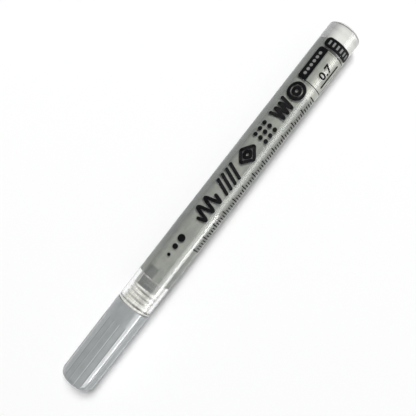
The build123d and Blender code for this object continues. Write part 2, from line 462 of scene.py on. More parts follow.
# %% Cup in the cap
CUP_LIP, CUP_BACK = span("cap_liner")
CUP_R, CUP_WALL = 3.21, 0.7
CUP_FLANGE, CUP_FLANGE_R = CUP_BACK - 2.5, radius_of("cap_liner", "y")
cap_cup = turn(
    "cap_cup",
    [
        (CUP_LIP, CUP_R),
        (CUP_LIP, CUP_R + CUP_WALL),
        (CUP_FLANGE, CUP_R + CUP_WALL),
        (CUP_FLANGE, CUP_FLANGE_R),
        (CUP_BACK, CUP_FLANGE_R),
        (CUP_BACK, 0),
        (CUP_BACK - CUP_WALL, 0),
        (CUP_BACK - CUP_WALL, CUP_R),
    ],
    rounded=[(0, 0.2, 2), (1, 0.2, 2), (2, 0.3, 3), (4, 0.4, 3), (7, 0.8, 4)],
)

# %% [markdown]
# ## Nib and spring
# The nib is a fibre rod with a tapered, rounded point, turned like the rest. The spring that shuts the
# valve is round wire: one circle wound by the Screw modifier, five times round.

# %% Nib
NIB_REAR, NIB_TIP = span("nib")
NIB_R, POINT_R = 1.0, 0.35
TAPER_LENGTH, POINT_LENGTH = 2.35, 0.35
fibre_nib = turn(
    "fibre_nib",
    [
        (NIB_REAR, 0),
        (NIB_REAR, NIB_R),
        (NIB_TIP - TAPER_LENGTH, NIB_R),
        (NIB_TIP - POINT_LENGTH, POINT_R),
        (NIB_TIP, POINT_R),
        (NIB_TIP, 0),
    ],
    rounded=[(1, 0.15, 2), (2, 0.3, 3), (4, 0.3, 5)],
    closed=False,
)

# %% Spring
SPRING_REAR, SPRING_FRONT = span("valve_spring")
WIRE_R, WIRE_SIDES, SPRING_TURNS, COIL_STEPS = 0.2, 12, 5, 40
COIL_R = radius_of("valve_spring", "z") - WIRE_R
wire_start = ((SPRING_REAR + WIRE_R) * MM, COIL_R * MM, 0)
bpy.ops.object.select_all(action="DESELECT")
bpy.ops.mesh.primitive_circle_add(vertices=WIRE_SIDES, radius=WIRE_R * MM, location=wire_start)
valve_coil = added("valve_coil")
coil_length = SPRING_FRONT - SPRING_REAR - 2 * WIRE_R
wind(valve_coil, SPRING_TURNS, coil_length, COIL_STEPS * SPRING_TURNS)
finish_shape(valve_coil, 50)

# %% [markdown]
# ## Ink on the barrel
# The print is a thin film that goes round the tube. Each mark is drawn flat, with X along the pen and Y
# as the way round it, cut into narrow strips with Bisect, and then rolled on to the barrel: the way
# round becomes an angle. A Solidify modifier gives the film its thickness, down into the tube's skin.

# %% Roll a flat mark on to the barrel
INK_PROUD, INK_FILM, STRIP = 0.018, 0.03, 0.35


def roll_on(piece, lift=0.0):
    """Bend a flat mark, drawn in metres round Y = 0 at the top of the barrel, on to the tube."""
    for vertex in piece.data.vertices:
        flat = vertex.co.copy()
        radius = (skin_at(flat.x / MM) + INK_PROUD + lift) * MM + flat.z
        angle = flat.y / (BARREL_R * MM)
        vertex.co = (flat.x, radius * sin(angle), AXIS + radius * cos(angle))


def cut_strips(piece):
    """Cut a flat mark into strips along the pen, so that it can bend."""
    low = min(vertex.co.y for vertex in piece.data.vertices)
    high = max(vertex.co.y for vertex in piece.data.vertices)
    pick(piece)
    bpy.ops.object.mode_set(mode="EDIT")
    for number in range(1, int((high - low) / (STRIP * MM)) + 1):
        bpy.ops.mesh.select_all(action="SELECT")
        bpy.ops.mesh.bisect(plane_co=(0, low + number * STRIP * MM, 0), plane_no=(0, 1, 0))
    bpy.ops.object.mode_set(mode="OBJECT")


def lay_film(piece, lift=0.0):
    """Cut, roll and thicken a flat mark."""
    cut_strips(piece)
    roll_on(piece, lift)
    film = piece.modifiers.new("film", "SOLIDIFY")
    film.thickness = INK_FILM * MM
    film.offset = -1
    apply_modifier(piece, film)
    bpy.ops.object.shade_smooth_by_angle(angle=radians(40))
    return piece


print(f"helpers: roll_on, cut_strips, lay_film, for a film of {INK_FILM} mm")

# %% [markdown]
# The marks are plain ones that could be on any marker: a label band, a frame with the line width in it,
# sample strokes, three point sizes and a millimetre scale. Two flat shapes make most of them, a plate
# and a disc. The two black fields carry a few pale bars and spots, in a film a hair over the black one.

# %% Plates and discs


def plate(name, x_from, x_to, y_from, y_to, corner=0.0):
    """A flat rectangle in millimetres along and round the pen, with rounded corners if asked."""
    middle = ((x_from + x_to) / 2 * MM, (y_from + y_to) / 2 * MM, 0)
    bpy.ops.object.select_all(action="DESELECT")
    bpy.ops.mesh.primitive_plane_add(size=1, location=middle)
    bpy.context.active_object.scale = (abs(x_to - x_from) * MM, abs(y_to - y_from) * MM, 1)
    piece = added(name)
    if corner:
        bpy.ops.object.mode_set(mode="EDIT")
        bpy.ops.mesh.select_all(action="SELECT")
        bpy.ops.mesh.bevel(offset=corner * MM, segments=6, affect="VERTICES")
        bpy.ops.object.mode_set(mode="OBJECT")
    return piece


def disc(name, x, y, radius):
    """A flat round spot, in millimetres."""
    place = (x * MM, y * MM, 0)
    bpy.ops.object.select_all(action="DESELECT")
    bpy.ops.mesh.primitive_circle_add(
        vertices=32, radius=radius * MM, fill_type="NGON", location=place
    )
    return added(name)


def join(name, pieces):
    """One piece made of several."""
    pick(pieces[0])
    for piece in pieces:
        piece.select_set(True)
    bpy.ops.object.join()
    whole = bpy.context.active_object
    whole.name = whole.data.name = name
    print(f"{name}: {len(whole.data.polygons)} faces")
    return whole


BAND_FRONT, BAND_REAR, BAND_LOW, BAND_HIGH = -61.2, -64.5, -3.7, 7.9
ink_band = lay_film(plate("ink_band", BAND_FRONT, BAND_REAR, BAND_LOW, BAND_HIGH, corner=1.4))
print(f"ink_band: {len(ink_band.data.polygons)} faces")

# %% Label frame and pale marks
LABEL_REAR, LABEL_FRONT = -60.6, -48.6
LABEL_LOW, LABEL_STEP, LABEL_HIGH = -4.1, -0.8, 7.4
LINE, MARGIN = 0.25, 1.6
frame_parts = [
    plate("frame_band", LABEL_REAR, LABEL_FRONT, LABEL_LOW, LABEL_STEP, corner=1.0),
    plate("frame_band_edge", LABEL_REAR, LABEL_FRONT, LABEL_STEP - 0.8, LABEL_STEP),
    plate("frame_rear", LABEL_REAR, LABEL_REAR + LINE, LABEL_STEP, LABEL_HIGH),
    plate("frame_front", LABEL_FRONT - LINE, LABEL_FRONT, LABEL_STEP, LABEL_HIGH),
    plate("frame_side", LABEL_REAR, LABEL_FRONT, LABEL_HIGH, LABEL_HIGH + LINE),
    plate("line_sample", LABEL_REAR + MARGIN, LABEL_FRONT - MARGIN, 5.2, 5.9, corner=0.34),
]
ink_frame = join("ink_frame", [lay_film(part) for part in frame_parts])
PALE_COUNT, PALE_LIFT = 6, 0.006
BAR_STEP, SPOT_STEP, SPOT_R = 1.6, 1.55, 0.55
pale_parts = []
for number in range(PALE_COUNT):
    low, high = BAR_STEP * number - 2.3, BAR_STEP * number - 1.6
    pale_parts.append(plate("pale_bar", -62.1, -63.6, low, high))
for number in range(PALE_COUNT):
    pale_parts.append(disc("pale_spot", -50.7 - SPOT_STEP * number, -2.4, SPOT_R))
ink_pale = join("ink_pale", [lay_film(part, PALE_LIFT) for part in pale_parts])

# %% [markdown]
# The line width is a text object with Blender's own font. It is turned to read with the pen's cap to
# its left, made a mesh, and laid like the other marks.

# %% Line width in the frame
bpy.ops.object.select_all(action="DESELECT")
bpy.ops.object.text_add(location=(-54.6 * MM, 1.1 * MM, 0), rotation=(0, 0, pi))
ink_number = bpy.context.active_object
ink_number.name = "ink_number"
ink_number.data.body = "0.7"
ink_number.data.size = 4.0 * MM
ink_number.data.offset = 0.1 * MM
ink_number.data.align_x = "CENTER"
ink_number.data.align_y = "TOP"
bpy.ops.object.convert(target="MESH")
ink_number = bpy.context.active_object
bpy.ops.object.transform_apply(location=True, rotation=True, scale=True)
lay_film(ink_number)
print(f"ink_number: {len(ink_number.data.polygons)} faces")

# %% [markdown]
# A sample stroke is a line of even width with round ends. A wire is traced through its points, turned
# into a curve, given a round bevel, and turned back into a mesh. Squeezed almost flat, that tube is a
# closed film of ink, and its ends are rounded by making the curve's radius fall away like a circle's.

# %% Stroke helper
STROKE, END_STEPS, END_TURN = 1.1, range(1, 5), 18


def round_ends(spots, half):
    """Lengthen an open line at both ends, and say how its radius falls away there."""
    fade_out = [sin(radians(END_TURN * step)) for step in END_STEPS]
    reach = [half * (1 - cos(radians(END_TURN * step))) for step in END_STEPS]
    back = (spots[0] - spots[1]).normalized()
    ahead = (spots[-1] - spots[-2]).normalized()
    first = [spots[0] + back * (half - step) for step in reach]
    last = [spots[-1] + ahead * (half - step) for step in reversed(reach)]
    return first + spots + last, fade_out + [1.0] * len(spots) + fade_out[::-1]


def stroke(name, points, closed=False, width=STROKE):
    """A flat line of ink through (along, round) points in millimetres, rolled on to the barrel."""
    half = width / 2
    spots = [Vector((x, y, 0)) for x, y in points]
    radii = [1.0] * len(spots)
    if not closed:
        spots, radii = round_ends(spots, half)
    trace(name, [spot * MM for spot in spots], closed)
    bpy.ops.object.mode_set(mode="OBJECT")
    bpy.ops.object.convert(target="CURVE")
    curve = bpy.context.active_object.data
    curve.dimensions = "3D"
    curve.bevel_depth = half * MM
    curve.bevel_resolution = 3
    curve.use_fill_caps = not closed
    for point, radius in zip(curve.splines[0].points, radii):
        point.radius = radius
    bpy.ops.object.convert(target="MESH")
    line = bpy.context.active_object
    line.name = line.data.name = name
    bpy.ops.object.mode_set(mode="EDIT")
    bpy.ops.mesh.select_all(action="SELECT")
    bpy.ops.transform.resize(value=(1, 1, INK_FILM / width))
    tidy_shell()
    bpy.ops.object.mode_set(mode="OBJECT")
    roll_on(line, lift=-INK_FILM / 2)
    bpy.ops.object.shade_smooth_by_angle(angle=radians(60))
    return line


print(f"helpers: round_ends, stroke, for lines of {STROKE} mm")

# %% [markdown]
# The strokes are what someone draws to try a marker: a wave, hatching, a diamond, spots, teeth and
# rings. A pen rounds the corners that it draws, so the points of a line with corners are softened.

# %% Sample strokes
SOFT_STEPS = 5


def soften(points, reach, closed=False):
    """Replace each corner of a line by a short curve that starts and ends this far from it."""
    spots = [Vector(point) for point in points]
    soft = [] if closed else [spots[0]]
    for number in range(0 if closed else 1, len(spots) if closed else len(spots) - 1):
        corner = spots[number]
        back = corner + (spots[number - 1] - corner).normalized() * reach
        ahead = corner + (spots[(number + 1) % len(spots)] - corner).normalized() * reach
        for step in range(SOFT_STEPS + 1):
            share = step / SOFT_STEPS
            soft.append(back.lerp(corner, share).lerp(corner.lerp(ahead, share), share))
    return soft if closed else soft + [spots[-1]]


def ring(x, y, radius, count=40):
    turns = [tau * number / count for number in range(count)]
    return [(x + radius * cos(turned), y + radius * sin(turned)) for turned in turns]


def diamond(x, y, reach, squat=0.82):
    low, high = y - squat * reach, y + squat * reach
    return [(x + reach, y), (x, high), (x - reach, y), (x, low)]


TOP, BASE = -3.5, 1.7
MID = (TOP + BASE) / 2
wave = [(5.4 - 0.2 * k, MID + 2.5 * sin(tau * k / 18)) for k in range(46)]
hatch = [[(-5.9 - 2.1 * k, BASE), (-7.9 - 2.1 * k, TOP)] for k in range(4)]
spots = [(-26.2 - 2.3 * k, MID + 2.1 * j) for k in range(3) for j in (-1, 0, 1)]
teeth = [(-34.4 - 1.0 * k, BASE if k % 2 else TOP) for k in range(7)]
marks = [stroke("wave", wave)]
marks += [stroke("hatch", points) for points in hatch]
for reach in (1.5, 3.4):
    points = soften(diamond(-19.6, MID, reach), 0.5, closed=True)
    marks.append(stroke("diamond", points, closed=True))
marks += [lay_film(disc("spot", x, y, 0.75)) for x, y in spots]
marks.append(stroke("teeth", soften(teeth, 0.8)))
marks += [stroke("ring", ring(-44.5, MID, radius), closed=True) for radius in (1.1, 2.6)]
ink_strokes = join("ink_strokes", marks)

# %% [markdown]
# Three spots in falling size stand for the points that such a marker comes with. The scale has a tick
# every millimetre and a longer one every fifth.

# %% Point sizes and millimetre scale
sizes = [lay_film(disc("point_size", 13.4 + 3.2 * k, -1.2, 1.25 - 0.35 * k)) for k in range(3)]
ink_points = join("ink_points", sizes)
SCALE_START, SCALE_EDGE, TICK_HALF = 14.1, 7.6, 0.21
LONG_TICK, SHORT_TICK, TICK_COUNT = 3.3, 2.2, 61
ticks = []
for number in range(TICK_COUNT):
    low = SCALE_EDGE - (LONG_TICK if number % 5 == 0 else SHORT_TICK)
    x = SCALE_START - number
    ticks.append(lay_film(plate("tick", x - TICK_HALF, x + TICK_HALF, low, SCALE_EDGE)))
ink_scale = join("ink_scale", ticks)

# %% [markdown]
# ## Finishes
# Every finish is made of nodes, on Object coordinates, so a pattern keeps its real size in metres. A
# few helpers place the nodes: sums, mixes, ramps from one value to another, and noise.

# %% Node helpers


def node(tree, kind, links=None, **settings):
    """A node with its settings, and its inputs linked to sockets or set to values."""
    made = tree.nodes.new(kind)
    for name, value in settings.items():
        setattr(made, name, value)
    for key, value in (links or {}).items():
        if isinstance(value, bpy.types.NodeSocket):
            tree.links.new(value, made.inputs[key])
        else:
            made.inputs[key].default_value = value
    return made


def calc(tree, operation, first, *others):
    """Maths on two values, or on more, one after the other."""
    for other in others:
        links = {0: first, 1: other}
        first = node(tree, "ShaderNodeMath", links, operation=operation).outputs[0]
    return first


def blend(tree, share, first, second):
    """Mix two colours; a share of 0 gives the first one."""
    links = {0: share, 6: first, 7: second}
    return node(tree, "ShaderNodeMix", links, data_type="RGBA").outputs[2]


def ramp(tree, value, low, high, to_low=0.0, to_high=1.0, smooth=False):
    """Map a value from one range to another, held at its ends."""
    links = {0: value, 1: low, 2: high, 3: to_low, 4: to_high}
    kind = "SMOOTHSTEP" if smooth else "LINEAR"
    return node(tree, "ShaderNodeMapRange", links, interpolation_type=kind).outputs[0]


print("helpers: node, calc, blend, ramp")

# %% Place helpers, in millimetres


def object_place(tree):
    return node(tree, "ShaderNodeTexCoord").outputs["Object"]


def axes_of(tree):
    """X along the pen, Y across it and Z up, as sockets."""
    return node(tree, "ShaderNodeSeparateXYZ", {0: object_place(tree)}).outputs


def slope(tree, place, start, end, at_start=0.0, at_end=1.0, smooth=False):
    """A ramp between two places in millimetres."""
    return ramp(tree, place, start * MM, end * MM, at_start, at_end, smooth)


def fade(tree, place, start, end, at_start=0.0, at_end=1.0):
    """A slope with soft ends."""
    return slope(tree, place, start, end, at_start, at_end, smooth=True)


def off(tree, value, centre):
    """How far a value is from a centre, to either side."""
    return calc(tree, "ABSOLUTE", calc(tree, "SUBTRACT", value, centre), 0.0)


def noise(tree, along, across, detail=3.0):
    """Noise with so many features per metre along and across the pen."""
    links = {"Vector": object_place(tree), "Scale": (along, across, across)}
    scaled = node(tree, "ShaderNodeMapping", links).outputs["Vector"]
    links = {"Vector": scaled, "Scale": 1.0, "Detail": detail}
    return node(tree, "ShaderNodeTexNoise", links).outputs["Fac"]


print("helpers: object_place, axes_of, slope, fade, off, noise")

# %% [markdown]
# Two effects come back in several materials and are node groups. The first is the fine unevenness of a
# moulded or drawn surface: roughness that drifts, drag marks along the pen, and grain.

# %% Moulded surface
FLOAT, COLOUR = "NodeSocketFloat", "NodeSocketColor"


def new_group(name, inputs, outputs):
    """A node group with named sockets: the tree, what it is given and what it gives."""
    tree = bpy.data.node_groups.new(name, "ShaderNodeTree")
    sockets = tree.interface
    for label, kind, value in inputs:
        made = sockets.new_socket(name=label, in_out="INPUT", socket_type=kind)
        made.default_value = value
    for label, kind in outputs:
        sockets.new_socket(name=label, in_out="OUTPUT", socket_type=kind)
    given, gives = tree.nodes.new("NodeGroupInput"), tree.nodes.new("NodeGroupOutput")
    return tree, given.outputs, gives.inputs


moulded, given, gives = new_group(
    "moulded_surface",
    [("Smoothest", FLOAT, 0.2), ("Roughest", FLOAT, 0.3)],
    [("Roughness", FLOAT), ("Height", FLOAT), ("Drift", FLOAT)],
)
drag = noise(moulded, 120, 5000)
drift = ramp(moulded, calc(moulded, "ADD", noise(moulded, 150, 600, 4.0), drag), 0.7, 1.3)
rough = ramp(moulded, drift, 0.0, 1.0, given["Smoothest"], given["Roughest"])
grain = calc(moulded, "ADD", drag, noise(moulded, 9000, 9000, 2.0))
moulded.links.new(rough, gives["Roughness"])
moulded.links.new(grain, gives["Height"])
moulded.links.new(drift, gives["Drift"])
print("moulded_surface:", len(moulded.nodes), "nodes")

# %% [markdown]
# The second is a silver pigment. Its flakes are the cells of a Voronoi texture, each with its own
# brightness, and the brightest of them are coloured near white, a painted glint. They lie in clouds,
# long ones along the pen with finer ones among them, which is why two noises are added.

# %% Silver pigment
GLINT_COLOUR = (0.85, 0.86, 0.86, 1)
FLAKES_PER_METRE = 14000.0
pigment, given, gives = new_group(
    "silver_pigment",
    [
        ("Shade", COLOUR, (0.3, 0.3, 0.3, 1)),
        ("Sheen", COLOUR, (0.4, 0.4, 0.4, 1)),
        ("Glint", FLOAT, 0.2),
    ],
    [("Color", COLOUR), ("Height", FLOAT)],
)
links = {"Vector": object_place(pigment), "Scale": FLAKES_PER_METRE}
cells = node(pigment, "ShaderNodeTexVoronoi", links).outputs["Color"]
flake = node(pigment, "ShaderNodeSeparateColor", {"Color": cells}).outputs["Red"]
clouds = calc(pigment, "ADD", noise(pigment, 70, 420, 5.0), noise(pigment, 380, 620, 4.0))
body_colour = blend(pigment, ramp(pigment, clouds, 0.75, 1.25), given["Shade"], given["Sheen"])
# painted glint: the brightest flakes are coloured near white
bright = calc(pigment, "MULTIPLY", ramp(pigment, flake, 0.75, 1.0), given["Glint"])
pigment.links.new(blend(pigment, bright, body_colour, GLINT_COLOUR), gives["Color"])
pigment.links.new(flake, gives["Height"])
print("silver_pigment:", len(pigment.nodes), "nodes")

# %% [markdown]
# The shader itself stays in each material, where the values that are the same all over are set on its
# own sockets. A finish is then a shader, one placed group, a bump from the group's height and a
# colour.

# %% A material with its shader, its group and a bump
BUMP_DEPTH = 0.02 * MM


def new_finish(name, group, values, bump, **constants):
    """New material: a Principled shader fed by one placed group, with a bump from its Height."""
    material = bpy.data.materials.new(name)
    material.use_nodes = True
    tree = material.node_tree
    shader = tree.nodes["Principled BSDF"]
    for label, value in constants.items():
        shader.inputs[label.replace("_", " ")].default_value = value
    effect = node(tree, "ShaderNodeGroup", values, node_tree=group)
    raised = {"Height": effect.outputs["Height"], "Distance": BUMP_DEPTH, "Strength": bump}
    normal = node(tree, "ShaderNodeBump", raised).outputs["Normal"]
    tree.links.new(normal, shader.inputs["Normal"])
    if "Roughness" in effect.outputs:
        tree.links.new(effect.outputs["Roughness"], shader.inputs["Roughness"])
    return material, tree, effect


def take_colour(material, colour):
    """Link the finished colour to the shader."""
    tree = material.node_tree
    tree.links.new(colour, tree.nodes["Principled BSDF"].inputs["Base Color"])
    print(f"{material.name}: {len(tree.nodes)} nodes")


def moulded_finish(name, first, second, smoothest, roughest, bump=0.1, **constants):
    """A moulded, drawn or pressed surface whose colour drifts a little between two tones."""
    values = {"Smoothest": smoothest, "Roughest": roughest}
    material, tree, effect = new_finish(name, moulded, values, bump, **constants)
    take_colour(material, blend(tree, effect.outputs["Drift"], (*first, 1), (*second, 1)))
    return material


print("helpers: new_finish, take_colour, moulded_finish")

# %% [markdown]
# The clear plastic is real glass to the renderer: it bends light, so the paint behind it swells to the
# full width of the barrel. Ink has almost no shine of its own. Steel is metal with drawn streaks, and
# the fibre, rubber and valve mouldings are matt.

# %% Plain finishes
RESIN_IOR = 1.49
GLASS, DULL = {"Transmission_Weight": 1.0, "IOR": RESIN_IOR}, {"Specular_IOR_Level": 0.06}
METAL = {"Metallic": 1.0}
clear = moulded_finish(
    "clear_plastic", (0.97, 0.975, 0.97), (0.985, 0.985, 0.98), 0.015, 0.05, 0.02, **GLASS
)
ink = moulded_finish("black_ink", (0.004, 0.004, 0.005), (0.009, 0.009, 0.010), 0.4, 0.6, **DULL)
pale_ink = moulded_finish("pale_ink", (0.20, 0.205, 0.20), (0.25, 0.255, 0.25), 0.4, 0.6, **DULL)
steel = moulded_finish(
    "drawn_steel", (0.55, 0.55, 0.56), (0.68, 0.68, 0.68), 0.22, 0.38, 0.2, **METAL
)
ball_steel = moulded_finish(
    "polished_steel", (0.62, 0.62, 0.63), (0.7, 0.7, 0.7), 0.08, 0.16, 0.05, **METAL
)
fibre = moulded_finish("nib_fibre", (0.50, 0.51, 0.49), (0.62, 0.62, 0.60), 0.75, 0.95, 0.6)
rubber = moulded_finish("seat_rubber", (0.55, 0.55, 0.53), (0.62, 0.62, 0.60), 0.6, 0.75, 0.2)
valve_white = moulded_finish("valve_plastic", (0.78, 0.78, 0.75), (0.84, 0.84, 0.82), 0.35, 0.5)
cup_white = moulded_finish("liner_plastic", (0.80, 0.80, 0.78), (0.86, 0.86, 0.84), 0.35, 0.5)

# %% [markdown]
# The plug is the same resin, but cloudy. Painted shade makes it greyer on one side and towards the
# front, and a thin ring of painted shade lies where the barrel's rear edge meets it.

# %% Cloudy plug
PLUG_TONES = (0.95, 0.955, 0.94, 1), (0.97, 0.97, 0.955, 1)
PLUG_SHADE_GREY, RIM_SHADE = (0.34, 0.35, 0.37, 1), (0.12, 0.125, 0.13, 1)
RIM_LINE = BARREL_REAR + 0.1
cloudy, tree, effect = new_finish(
    "cloudy_plastic",
    moulded,
    {"Smoothest": 0.08, "Roughest": 0.16},
    0.05,
    Transmission_Weight=0.5,
    IOR=RESIN_IOR,
)
axes = axes_of(tree)
# painted shade: greyer on the -Y side, more towards the plug's front
plug_shade_side = fade(tree, axes["Y"], -0.5, -4.5)
inwards = slope(tree, axes["X"], BARREL_REAR, PLUG_FRONT, 0.6, 1.0)
# painted shade in a thin ring where the barrel's rear edge meets the plug
rim_shade = fade(tree, off(tree, axes["X"], RIM_LINE * MM), 0.2, 0.45, 0.9, 0.0)
colour = blend(tree, effect.outputs["Drift"], *PLUG_TONES)
colour = blend(tree, calc(tree, "MULTIPLY", plug_shade_side, inwards), colour, PLUG_SHADE_GREY)
take_colour(cloudy, blend(tree, rim_shade, colour, RIM_SHADE))

# %% [markdown]
# The section is milky, with painted shade in the roots of its thread. The shade winds with the
# thread, because it is worked out from the angle round the pen and the station along it.

# %% Painted shade in the thread
milky, tree, effect = new_finish(
    "milky_plastic",
    moulded,
    {"Smoothest": 0.2, "Roughest": 0.32},
    0.05,
    Transmission_Weight=0.4,
    IOR=RESIN_IOR,
)
axes = axes_of(tree)
height = calc(tree, "SUBTRACT", axes["Z"], AXIS)
turned = calc(tree, "DIVIDE", calc(tree, "ARCTAN2", axes["Y"], height), tau)
from_root = calc(tree, "SUBTRACT", axes["X"], (ridge_start + PITCH / 2) * MM)
turns = calc(tree, "DIVIDE", from_root, PITCH * MM)
phase = calc(tree, "PINGPONG", calc(tree, "SUBTRACT", turns, turned), 0.5)
# painted shade in the roots of the thread
thread_root_shade = calc(
    tree,
    "MULTIPLY",
    ramp(tree, phase, 0.13, 0.29, 1.0, 0.0, smooth=True),
    slope(tree, axes["X"], THREAD_REAR, THREAD_FRONT, 1.0, 0.6),
    slope(tree, axes["X"], THREAD_FRONT - 0.4, THREAD_FRONT, 1.0, 0.0),
    slope(tree, axes["X"], CAGE_REAR - 0.3, CAGE_REAR),
)
print("thread stain:", len(tree.nodes), "nodes so far")

# %% [markdown]
# More painted shade lies where the barrel's front edge meets the flange, along the top of the thread
# and on one side of the land, and the rear lip is darker. The strongest of these is taken at each
# place, and a noise smears it. Outside the barrel the plastic is handled, and a little greyer.

# %% Milky section
MILKY_TONES = (0.90, 0.90, 0.865, 1), (0.95, 0.95, 0.92, 1)
OUTSIDE_TONE, SHADE_DARK = (0.72, 0.72, 0.69, 1), (0.07, 0.07, 0.068, 1)
JOINT_LINE, LIP_FRONT = BARREL_FRONT - 0.1, SECTION_REAR + LIP
# painted shade where the barrel's front edge meets the flange, and along the top of the thread
joint_shade = fade(tree, off(tree, axes["X"], JOINT_LINE * MM), 0.2, 0.4, 0.8, 0.0)
top_shade = calc(
    tree,
    "MULTIPLY",
    fade(tree, axes["Y"], -0.5, 0.3),
    fade(tree, axes["Y"], 1.5, 2.6, 1.0, 0.0),
    slope(tree, axes["X"], THREAD_FRONT - 2.5, THREAD_FRONT, 0.4, 0.0),
    calc(tree, "GREATER_THAN", axes["Z"], AXIS),
)
lip = slope(tree, axes["X"], LIP_FRONT, LIP_FRONT + 0.05, 0.5, 0.0)
painted_shade = calc(tree, "MAXIMUM", thread_root_shade, joint_shade, top_shade, lip)
painted_shade = calc(tree, "MULTIPLY", painted_shade, fade(tree, axes["Y"], -4.0, 0.5, 0.3, 1.0))
on_land = calc(tree, "LESS_THAN", axes["X"], CAGE_REAR * MM)
# painted shade on one side of the land
land = calc(tree, "MULTIPLY", on_land, fade(tree, axes["Y"], -1.5, -3.0, 0.0, 0.45))
smear = ramp(tree, noise(tree, 600, 300), 0.3, 0.7, 0.7, 1.0)
painted_shade = calc(tree, "MULTIPLY", calc(tree, "MAXIMUM", painted_shade, land), smear)
outside = slope(tree, axes["X"], FLANGE_FRONT - 0.1, FLANGE_FRONT + 0.3)
colour = blend(tree, effect.outputs["Drift"], *MILKY_TONES)
colour = blend(tree, outside, colour, OUTSIDE_TONE)
take_colour(milky, blend(tree, painted_shade, colour, SHADE_DARK))

# %% [markdown]
# Silver paint and the cap share their pigment. In the paint the flakes drift in long clouds. Painted
# shade darkens it in front, behind the section's rear and its windows, and along one side, and a
# painted highlight makes it paler on the top near the rear. A noise shifts the place a little, so
# that these borders are not straight.

# %% Paint in the barrel
SIDE_SHADE_TONE, REAR_HIGHLIGHT_TONE = (0.155, 0.168, 0.178, 1), (0.85, 0.86, 0.78, 1)
FRONT_SHADE_TONE = (0.10, 0.108, 0.118, 1)
silver_paint, tree, effect = new_finish(
    "silver_paint",
    pigment,
    {"Shade": (0.265, 0.278, 0.26, 1), "Sheen": (0.35, 0.363, 0.325, 1), "Glint": 0.12},
    0.3,
    Roughness=0.55,
    Metallic=0.15,
)
axes = axes_of(tree)
wander = ramp(tree, noise(tree, 500, 500), 0.0, 1.0, -0.6 * MM, 0.6 * MM)
along, across = (calc(tree, "ADD", axes[axis], wander) for axis in "XY")
# painted shade on the top, on one side of the paint just behind the section
front_shade = calc(
    tree,
    "MULTIPLY",
    fade(tree, along, SECTION_REAR - 4.2, SECTION_REAR - 3.2),
    fade(tree, across, -0.2, -0.9),
    fade(tree, across, -3.9, -3.2),
    calc(tree, "GREATER_THAN", axes["Z"], AXIS),
    0.6,
)
# painted shade in bands where the paint shows through the section's windows
window_shade = calc(
    tree,
    "MULTIPLY",
    ramp(tree, noise(tree, 1400, 60), 0.35, 0.65, 0.4, 0.9),
    fade(tree, across, -3.4, -1.9),
    fade(tree, across, 0.4, 2.4, 1.0, 0.35),
    slope(tree, axes["X"], SECTION_REAR - 0.1, SECTION_REAR),
)
# painted shade along the -Y side, less towards the front
paint_shade_side, behind = fade(tree, across, -2.2, -3.9, 0.0, 0.5), fade(tree, along, 14.0, 26.0, 1.0, 0.2)
# painted highlight on the top near the rear
at_rear, above = fade(tree, along, -43.8, -45.6, 0.0, 0.5), fade(tree, across, 0.2, 2.2)
colour = effect.outputs["Color"]
colour = blend(tree, calc(tree, "MULTIPLY", paint_shade_side, behind), colour, SIDE_SHADE_TONE)
colour = blend(tree, calc(tree, "MULTIPLY", at_rear, above), colour, REAR_HIGHLIGHT_TONE)
take_colour(silver_paint, blend(tree, calc(tree, "MAXIMUM", front_shade, window_shade), colour, FRONT_SHADE_TONE))

# %% [markdown]
# The cap is the same grey moulded into plastic, with a smooth skin over it. A painted highlight runs
# along its flutes' edges, stronger on one side, and painted shade lies in their corners. Both lines
# follow from the angle round the cap, which repeats from flute to flute.

# %% Cap plastic
EDGE_HIGHLIGHT_TONE, CORNER_SHADE_TONE = (0.62, 0.64, 0.65, 1), (0.13, 0.14, 0.15, 1)
LINE_CORE, LINE_EDGE = 0.008, 0.028
cap_grey, tree, effect = new_finish(
    "cap_plastic",
    pigment,
    {"Shade": (0.312, 0.331, 0.342, 1), "Sheen": (0.36, 0.379, 0.388, 1), "Glint": 0.08},
    0.15,
    Metallic=0.03,
    Specular_IOR_Level=0.08,
    Coat_Weight=0.8,
    Coat_Roughness=0.06,
)
axes = axes_of(tree)
turned = calc(tree, "ARCTAN2", axes["Y"], calc(tree, "SUBTRACT", axes["Z"], AXIS))
from_middle = calc(tree, "SUBTRACT", turned, radians(FLUTE_TURN))
from_flute = calc(tree, "PINGPONG", from_middle, pi / FLUTE_COUNT)
flute_edge, flute_rear = asin(FLUTE_WIDTH / 2 / CAP_R), CAP_RIM + FLUTE_START
on_flute = slope(tree, axes["X"], flute_rear - 0.1, flute_rear)


def flute_line(shift, strength):
    """A thin line that follows the flutes' edges, this many radians outside them."""
    gap = off(tree, from_flute, flute_edge + shift)
    line = ramp(tree, gap, LINE_CORE, LINE_EDGE, strength, 0.0, smooth=True)
    return calc(tree, "MULTIPLY", line, on_flute)


# painted highlight along the flutes' edges, stronger towards +Y
highlight_side = slope(tree, axes["Y"], -2.2, -0.6, 0.4, 1.0)
edge_highlight = calc(tree, "MULTIPLY", flute_line(0.015, 0.8), highlight_side)
colour = blend(tree, edge_highlight, effect.outputs["Color"], EDGE_HIGHLIGHT_TONE)
skin = node(tree, "ShaderNodeGroup", {"Smoothest": 0.38, "Roughest": 0.5}, node_tree=moulded)
tree.links.new(skin.outputs["Roughness"], tree.nodes["Principled BSDF"].inputs["Roughness"])
# painted shade in the flutes' corners
take_colour(cap_grey, blend(tree, flute_line(-0.025, 0.4), colour, CORNER_SHADE_TONE))

# %% [markdown]
# ## Putting it together
# Each piece says which body it rides on, which solid it stands for and which finish it takes. The ink
# stands for no solid. The four solids that stay as they are only get a finish.

